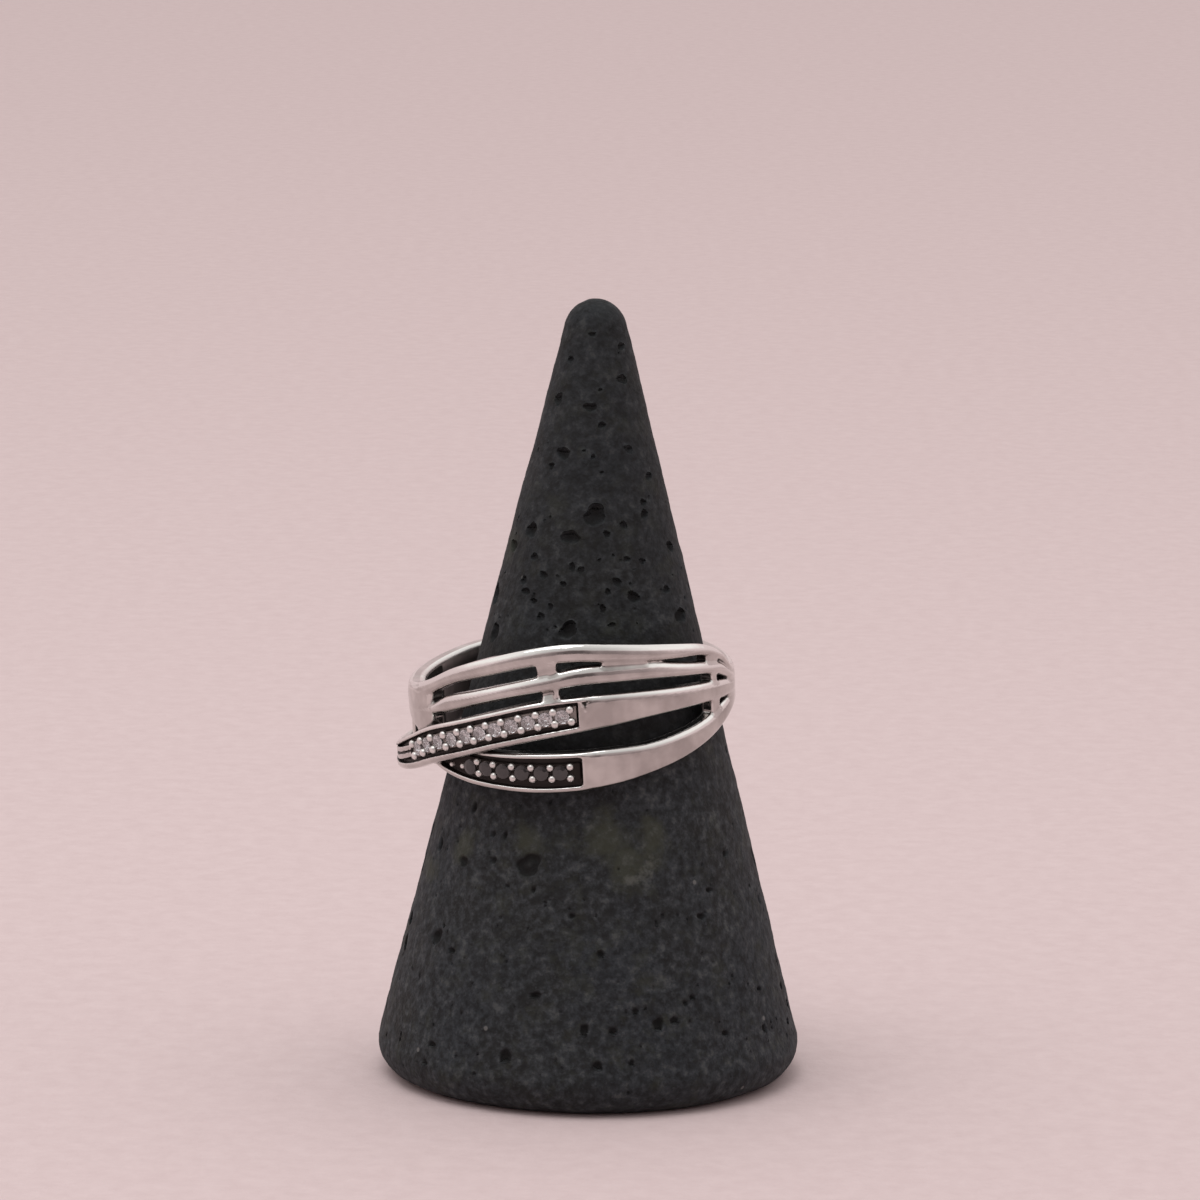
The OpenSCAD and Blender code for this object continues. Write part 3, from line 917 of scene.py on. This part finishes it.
def stone_noise(points, size, seed):
    offset = Vector((seed, 2 * seed, 3 * seed))
    return np.array([noise.noise(Vector(p) / size + offset) for p in points])


def triangles_of(plane):
    out = delaunay_2d_cdt([Vector(p) for p in plane], [], [], 0, 1e-12)
    return np.array(list(out[2]), int)


def foot_disc(rim_points, rng):
    """Loose points inside the flat foot, against long slivers, and its triangles."""
    r = FOOT_REACH * np.sqrt(rng.uniform(0, 1, FOOT_POINTS))
    a = rng.uniform(0, TAU, FOOT_POINTS)
    inside = np.stack([r * np.cos(a), r * np.sin(a), np.zeros(FOOT_POINTS)], 1)
    plane = np.concatenate([rim_points[:, :2], inside[:, :2]]) / 20
    return inside, triangles_of(plane)


def pore_depths(outline, pores, theta, s):
    """How deep each point lies in a pore, and how much painted shade the pore has there."""
    depth, pore_shade = np.zeros(len(theta)), np.zeros(len(theta))
    for pore in pores:
        size = max(pore.wide, pore.tall)
        near = np.nonzero(np.abs(s - pore.s) < 1.6 * size)[0]
        t = pore.share(outline, theta[near], s[near])
        power, steep = (2.0, 1.1) if pore.worn_and_shaded else (2.6, 0.55)
        bowl = np.clip(1 - np.clip(t, 0, 1) ** power, 0, 1) ** steep
        bowl = bowl * (1 - pore.hump * np.clip(1 - t / 0.62, 0, 1) ** 0.5)
        depth[near] = np.maximum(depth[near], bowl * pore.depth)
        pore_shade[near] = np.maximum(pore_shade[near], bowl * pore.dark * np.clip(size / 0.2, 0.5, 1))
    return depth, pore_shade


def grain_depths(outline, base, s, rng):
    """Fine unevenness of the stone, which fades out at the foot."""
    rough = 0.05 * (0.5 + stone_noise(base, 2.6, 3.1)) + 0.03 * (0.5 + stone_noise(base, 0.75, 7.7))
    rough += 0.016 * rng.uniform(0, 1, len(s))
    return np.clip(rough, 0, 1) * ease((outline.length - s) / 0.8)


def seen_spots(outline, seen):
    """Angle, length and half sizes of soft spots seen at pixels."""
    for px, py, w, h in seen:
        theta, z = on_cone(px, py)
        yield theta, outline.length_at(z), 1.5 * w / PX_PER_MM, 1.5 * h / PX_PER_MM


def more_stains(rng):
    """Angle, length and half sizes of stains that the photograph doesn't show."""
    for _ in range(9):
        a, b = rng.uniform(1.2, 5.0), rng.uniform(15, 45)
        yield (a + math.pi) % (TAU) - math.pi, b, rng.uniform(1, 2.2), rng.uniform(1, 2.2)


def in_spots(outline, theta, s, spots):
    """1 in the middle of a soft spot, 0 outside all of them."""
    found = np.zeros(len(theta))
    for a, b, wide, tall in spots:
        x = (theta - a) * outline.radius(b) / wide
        found = np.maximum(found, np.clip(1 - np.hypot(x, (s - b) / tall), 0, 1))
    return found


def shade_cone(obj, base, shades):
    """Attributes for the stone, and the painted shadow of the ring and the darker top that this adds. The
    points inside the foot, which come last, have none.
    """
    height = ((base - RING_AT) @ ring_turn())[:, 2]
    # Painted shadow of the ring on the cone, darkest at the ring's middle height
    shades["worn_and_shaded"] = ease((RING_SHADOW_REACH - np.abs(height - RING_SHADOW_MIDDLE)) / 2)
    shades["dusky"] = ease((base[:, 2] - DUSKY_FROM) / 4)
    for name, values in shades.items():
        add_attribute(obj, name, np.concatenate([values, np.zeros(FOOT_POINTS)]))


def build_cone():
    rng = np.random.default_rng(CONE_SEED)
    outline = Outline()
    pores = seen_pores(outline, rng)
    add_side_pores(outline, pores, rng)
    add_tiny_pores(outline, pores, rng)
    theta, s = cone_points(outline, pores, rng).T
    faces = triangles_of(outline.plane(theta, s))
    depth, pore_shade = pore_depths(outline, pores, theta, s)
    r, z, out, up = outline.at(s)
    base = np.stack([r * np.sin(theta), -r * np.cos(theta), z], 1)
    inward = depth + grain_depths(outline, base, s, rng)
    r, z = r - out * inward, z - up * inward
    points = np.stack([r * np.sin(theta), -r * np.cos(theta), np.maximum(z, 0)], 1)
    start = len(points) - RIM_POINTS
    inside, disc = foot_disc(points[start:], rng)
    disc = np.where(disc < RIM_POINTS, disc + start, disc - RIM_POINTS + len(points))
    points = np.concatenate([points, inside])
    faces = outward(points, faces, np.array([0, 0, 15.0]))
    disc = outward(points, disc, np.array([0, 0, 5.0]))
    obj = make_mesh("stone_cone", points, np.concatenate([faces, disc]))
    stains = [*seen_spots(outline, STAINS_SEEN), *more_stains(rng)]
    shade_cone(obj, base, {
        "pore_shade": pore_shade,
        "stain": in_spots(outline, theta, s, stains),
        "scuff": in_spots(outline, theta, s, seen_spots(outline, SCUFFS_SEEN)),
    })
    return obj


def outward(points, faces, middle):
    """Triangles turned to face away from the middle."""
    a, b, c = (points[faces[:, k]] for k in range(3))
    facing = (np.cross(b - a, c - a) * ((a + b + c) / 3 - middle)).sum(1)
    faces = faces.copy()
    faces[facing < 0] = faces[facing < 0][:, ::-1]
    return faces


# Materials

class Nodes:
    """Short calls for the nodes of a material, or of the world."""

    def __init__(self, owner, end="Principled BSDF", place="Object"):
        self.owner = owner
        owner.use_nodes = True
        self.tree = owner.node_tree
        self.end = self.tree.nodes[end]
        self.place = self.add("ShaderNodeTexCoord").outputs[place]

    def add(self, kind, inputs=None, **settings):
        node = self.tree.nodes.new(kind)
        for key, value in settings.items():
            setattr(node, key, value)
        for key, value in (inputs or {}).items():
            self.put(node.inputs[key], value)
        return node

    def put(self, socket, value):
        if isinstance(value, bpy.types.NodeSocket):
            self.tree.links.new(value, socket)
        else:
            socket.default_value = value

    def set(self, name, value):
        self.put(self.end.inputs[name], value)

    def noise(self, size, detail=4.0, rough=0.6, stretch=None):
        """Noise with features of a size in metres."""
        place = self.place
        if stretch:
            place = self.add("ShaderNodeMapping", {"Vector": place, "Scale": stretch}).outputs[0]
        return self.add("ShaderNodeTexNoise", {"Vector": place, "Scale": 1 / size, "Detail": detail,
                                               "Roughness": rough}).outputs["Fac"]

    def attribute(self, name):
        return self.add("ShaderNodeAttribute", attribute_name=name).outputs["Fac"]

    def remap(self, value, a, b, c=0.0, d=1.0):
        return self.add("ShaderNodeMapRange", {"Value": value, "From Min": a, "From Max": b,
                                               "To Min": c, "To Max": d}).outputs[0]

    def math(self, what, a, b):
        return self.add("ShaderNodeMath", {0: a, 1: b}, operation=what).outputs[0]

    def mix(self, share, a, b):
        return self.add("ShaderNodeMix", {0: share, 6: a, 7: b}, data_type="RGBA").outputs[2]

    def bump(self, height, distance, strength=1.0, normal=None):
        inputs = {"Height": height, "Distance": distance, "Strength": strength}
        if normal:
            inputs["Normal"] = normal
        return self.add("ShaderNodeBump", inputs).outputs[0]


def new_material(name):
    return Nodes(bpy.data.materials.new(name))


def silver_material(name, dark=(0.02, 0.014, 0.012, 1), span=(0.3, 0.62), dull=0.35, rough=0.0):
    n = new_material(name)
    grime = n.remap(n.noise(0.0006, 5.0), 0.3, 0.7, -0.08, 0.08)
    # The dark recess colour: oxide, and painted shade in hollows, gaps, the nick and the channels
    share = n.remap(n.math("ADD", n.attribute("recess"), grime), *span)
    cloud = n.remap(n.noise(0.0022, 3.0), 0.35, 0.65)
    clean = n.mix(cloud, (0.6, 0.572, 0.552, 1), (0.43, 0.405, 0.39, 1))
    # Painted highlight on the upper edges, with wear
    bright = n.mix(n.remap(n.attribute("edge"), 0.1, 0.9), clean, (0.78, 0.76, 0.74, 1))
    inside = n.attribute("inside")
    # Painted shade in the bore
    bright = n.mix(n.remap(inside, 0, 1, 0, 0.85), bright, (0.05, 0.045, 0.045, 1))
    n.set("Base Color", n.mix(share, bright, dark))
    n.set("Metallic", n.remap(share, 0.5, 1.0, 1.0, dull))
    scuff = n.remap(n.noise(0.0009, 5.0, 0.65, (1, 1, 6)), 0.35, 0.7, 0.06 + rough, 0.15 + rough)
    scuff = n.math("ADD", scuff, n.remap(inside, 0, 0.1, 0, 0.28))
    n.set("Roughness", n.math("ADD", scuff, n.remap(share, 0, 1, 0, 0.42)))
    soft = n.bump(n.noise(0.0016, 2.0), 0.00007, 0.6)
    n.set("Normal", n.bump(n.noise(0.00012, 3.0, 0.5, (0.25, 1, 3)), 0.000002, 0.5, soft))
    return n.owner


def clear_material():
    n = new_material("clear_stone")
    n.set("Base Color", n.mix(n.noise(0.0008, 2.0), (0.95, 0.95, 0.97, 1), (0.88, 0.89, 0.93, 1)))
    n.set("Roughness", n.remap(n.noise(0.0003, 3.0), 0.3, 0.7, 0.0, 0.03))
    n.set("Transmission Weight", 0.88)
    n.set("IOR", 2.3)
    return n.owner


def black_material():
    n = new_material("black_stone")
    n.set("Base Color", n.mix(n.noise(0.0006, 3.0), (0.01, 0.009, 0.01, 1), (0.028, 0.024, 0.025, 1)))
    n.set("Roughness", n.remap(n.noise(0.0003, 3.0), 0.3, 0.7, 0.06, 0.16))
    n.set("IOR", 1.75)
    return n.owner


def stone_material():
    n = new_material("cone_stone")
    mottle = n.noise(0.003, 6.0, 0.7)
    grain = n.noise(0.00032, 3.0, 0.6)
    clot = n.noise(0.0006, 4.0, 0.62)
    frayed = n.remap(n.noise(0.0017, 6.0, 0.7), 0.3, 0.7, -0.45, 0.45)
    stain = n.math("ADD", n.attribute("stain"), frayed)
    scuff = n.math("ADD", n.attribute("scuff"), n.remap(clot, 0.3, 0.7, -0.7, 0.5))
    speck = n.add("ShaderNodeTexVoronoi", {"Vector": n.place, "Scale": 1 / 0.0034}).outputs["Distance"]
    broad = n.remap(n.noise(0.011, 3.0), 0.35, 0.65)
    colour = n.mix(broad, (0.01, 0.0112, 0.0108, 1), (0.0112, 0.0145, 0.0185, 1))
    # Layers on it: value, where it starts to show, where it shows in full, how strongly, and its colour
    for value, start, full, share, tint in (
        (mottle, 0.42, 0.68, 0.6, (0.025, 0.029, 0.033, 1)),
        (clot, 0.46, 0.66, 0.8, (0.043, 0.049, 0.056, 1)),
        (clot, 0.46, 0.34, 0.8, (0.004, 0.0045, 0.005, 1)),
        (grain, 0.54, 0.74, 0.5, (0.055, 0.061, 0.068, 1)),
        (grain, 0.46, 0.3, 0.6, (0.009, 0.009, 0.01, 1)),
        (stain, 0.05, 0.75, 0.62, (0.045, 0.049, 0.032, 1)),
        (scuff, 0.15, 0.85, 0.45, (0.12, 0.125, 0.11, 1)),
        (speck, 0.05, 0.03, 0.7, (0.16, 0.16, 0.155, 1)),
        # Painted shade in the pores
        (n.attribute("pore_shade"), 0.25, 1.15, 0.85, (0.002, 0.002, 0.002, 1)),
        # Painted shadow of the ring
        (n.attribute("worn_and_shaded"), 0, 1, 0.6, (0.004, 0.004, 0.004, 1)),
        (n.attribute("dusky"), 0, 1, 0.38, (0.006, 0.0065, 0.0065, 1)),
    ):
        colour = n.mix(n.remap(value, start, full, 0, share), colour, tint)
    n.set("Base Color", colour)
    n.set("Roughness", n.remap(mottle, 0.3, 0.7, 0.72, 0.92))
    n.set("Specular IOR Level", 0.35)
    first = n.bump(mottle, 0.00012, 0.7)
    n.set("Normal", n.bump(grain, 0.0001, 0.9, first))
    return n.owner


def floor_material():
    n = new_material("floor")
    cloth = n.noise(0.0016, 4.0, 0.7)
    tint = n.mix(n.remap(cloth, 0.35, 0.65), (0.63, 0.505, 0.505, 1), (0.67, 0.545, 0.545, 1))
    n.set("Base Color", tint)
    n.set("Roughness", 0.9)
    n.set("Normal", n.bump(cloth, 0.0002, 0.4))
    return n.owner


# Stage

FLOOR_R = 3000.0
FLOOR_SIDES = 96


def build_floor():
    a = np.arange(FLOOR_SIDES) * TAU / FLOOR_SIDES
    points = FLOOR_R * np.stack([np.cos(a), np.sin(a), 0 * a], 1)
    floor = make_mesh("floor", points, [range(FLOOR_SIDES)], smooth=False)
    floor.data.materials.append(floor_material())


def build_camera():
    across, over, forward, eye = camera_frame()
    data = bpy.data.cameras.new("camera")
    camera = bpy.data.objects.new("camera", data)
    bpy.context.scene.collection.objects.link(camera)
    turn = Matrix((across, over, -forward)).transposed().to_4x4()
    turn.translation = Vector(eye) * MM
    camera.matrix_world = turn
    data.sensor_width = SENSOR
    data.lens = CAM_FOCAL_PX * SENSOR / PHOTO_SIZE
    data.clip_start, data.clip_end = 0.01, 20
    bpy.context.scene.camera = camera


# Studio round the object: how high (sine of the angle above the horizon) and how bright
SKY = ((0.0, (0.74, 0.6, 0.6)), (0.36, (0.82, 0.68, 0.68)), (0.56, (1.1, 1.07, 1.05)),
       (1.0, (0.92, 0.91, 0.9)))
# Where the dark shape of camera and photographer stands, and its core and wide soft edge: cosine of the
# angle from it where each starts and is full, and the light left there
VIEWER_AT = (0.06, -1.0, 0.14)
VIEWER_CORE = (0.945, 0.985, 0.42)
VIEWER_EDGE = (0.25, 0.9, 0.54)
SOFTBOX_AT = (-0.12, -0.14, 0.55)
SOFTBOX_SIZE = (0.4, 0.3)
SOFTBOX_POWER = 0.9


def sky_colour(n):
    """Colour of the studio by height."""
    height = n.add("ShaderNodeSeparateXYZ", {0: n.place}).outputs["Z"]
    ramp = n.add("ShaderNodeValToRGB", {0: height})
    stops = ramp.color_ramp.elements
    while len(stops) < len(SKY):
        stops.new(0.5)
    for stop, (at, colour) in zip(stops, SKY):
        stop.position = at
        stop.color = (*colour, 1)
    return ramp.outputs[0]


def viewer_shade(n):
    """Light that the dark shape in front leaves in each direction."""
    toward = Vector(VIEWER_AT).normalized()
    dot = n.add("ShaderNodeVectorMath", {0: n.place, 1: toward}, operation="DOT_PRODUCT")
    core, edge = (n.remap(dot.outputs["Value"], start, full, 1.0, left)
                  for start, full, left in (VIEWER_CORE, VIEWER_EDGE))
    return n.math("MULTIPLY", core, edge)


def build_softbox():
    data = bpy.data.lights.new("softbox", "AREA")
    data.shape = "RECTANGLE"
    data.size, data.size_y = SOFTBOX_SIZE
    data.energy = SOFTBOX_POWER
    light = bpy.data.objects.new("softbox", data)
    bpy.context.scene.collection.objects.link(light)
    light.location = SOFTBOX_AT
    aim = Vector((0, 0, 0.024)) - Vector(SOFTBOX_AT)
    light.rotation_euler = aim.to_track_quat("-Z", "Y").to_euler()


def build_light():
    world = bpy.data.worlds.new("studio")
    bpy.context.scene.world = world
    n = Nodes(world, "Background", "Generated")
    n.set("Color", sky_colour(n))
    n.set("Strength", viewer_shade(n))
    build_softbox()
    bpy.context.scene.view_settings.view_transform = "Standard"


def finish_piece(obj, material, slot, node):
    obj.data.materials.append(material)
    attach(obj, "root")
    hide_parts(node)


def main():
    build_camera()
    build_light()
    build_floor()
    rng = np.random.default_rng(STONE_SEED)
    silver = silver_material("silver")
    # The second colour is that of the beds' recesses: oxide, and painted shade
    beads = silver_material("bead_silver", (0.022, 0.015, 0.013, 1), (0.35, 0.75), rough=0.28)
    light_beads = silver_material("light_bead_silver", (0.36, 0.32, 0.3, 1), (0.35, 0.75), 0.15, 0.28)
    upper, lower = "crossing_band_pave", "lower_band_pave"
    for obj, material, slot, node in (
        (build_ring(), silver, "silver", "ring_body"),
        (build_setting("crossing_band_setting", crossing_row), light_beads, "silver", upper),
        (build_setting("lower_band_setting", lower_row, crossing_band), beads, "silver", lower),
        (build_stones("crossing_band_stones", crossing_row, rng), clear_material(), "clear_stone", upper),
        (build_stones("lower_band_stones", lower_row, rng), black_material(), "black_stone", lower),
        (build_cone(), stone_material(), "cone_stone", "cone_stand"),
    ):
        finish_piece(obj, material, slot, node)


main()
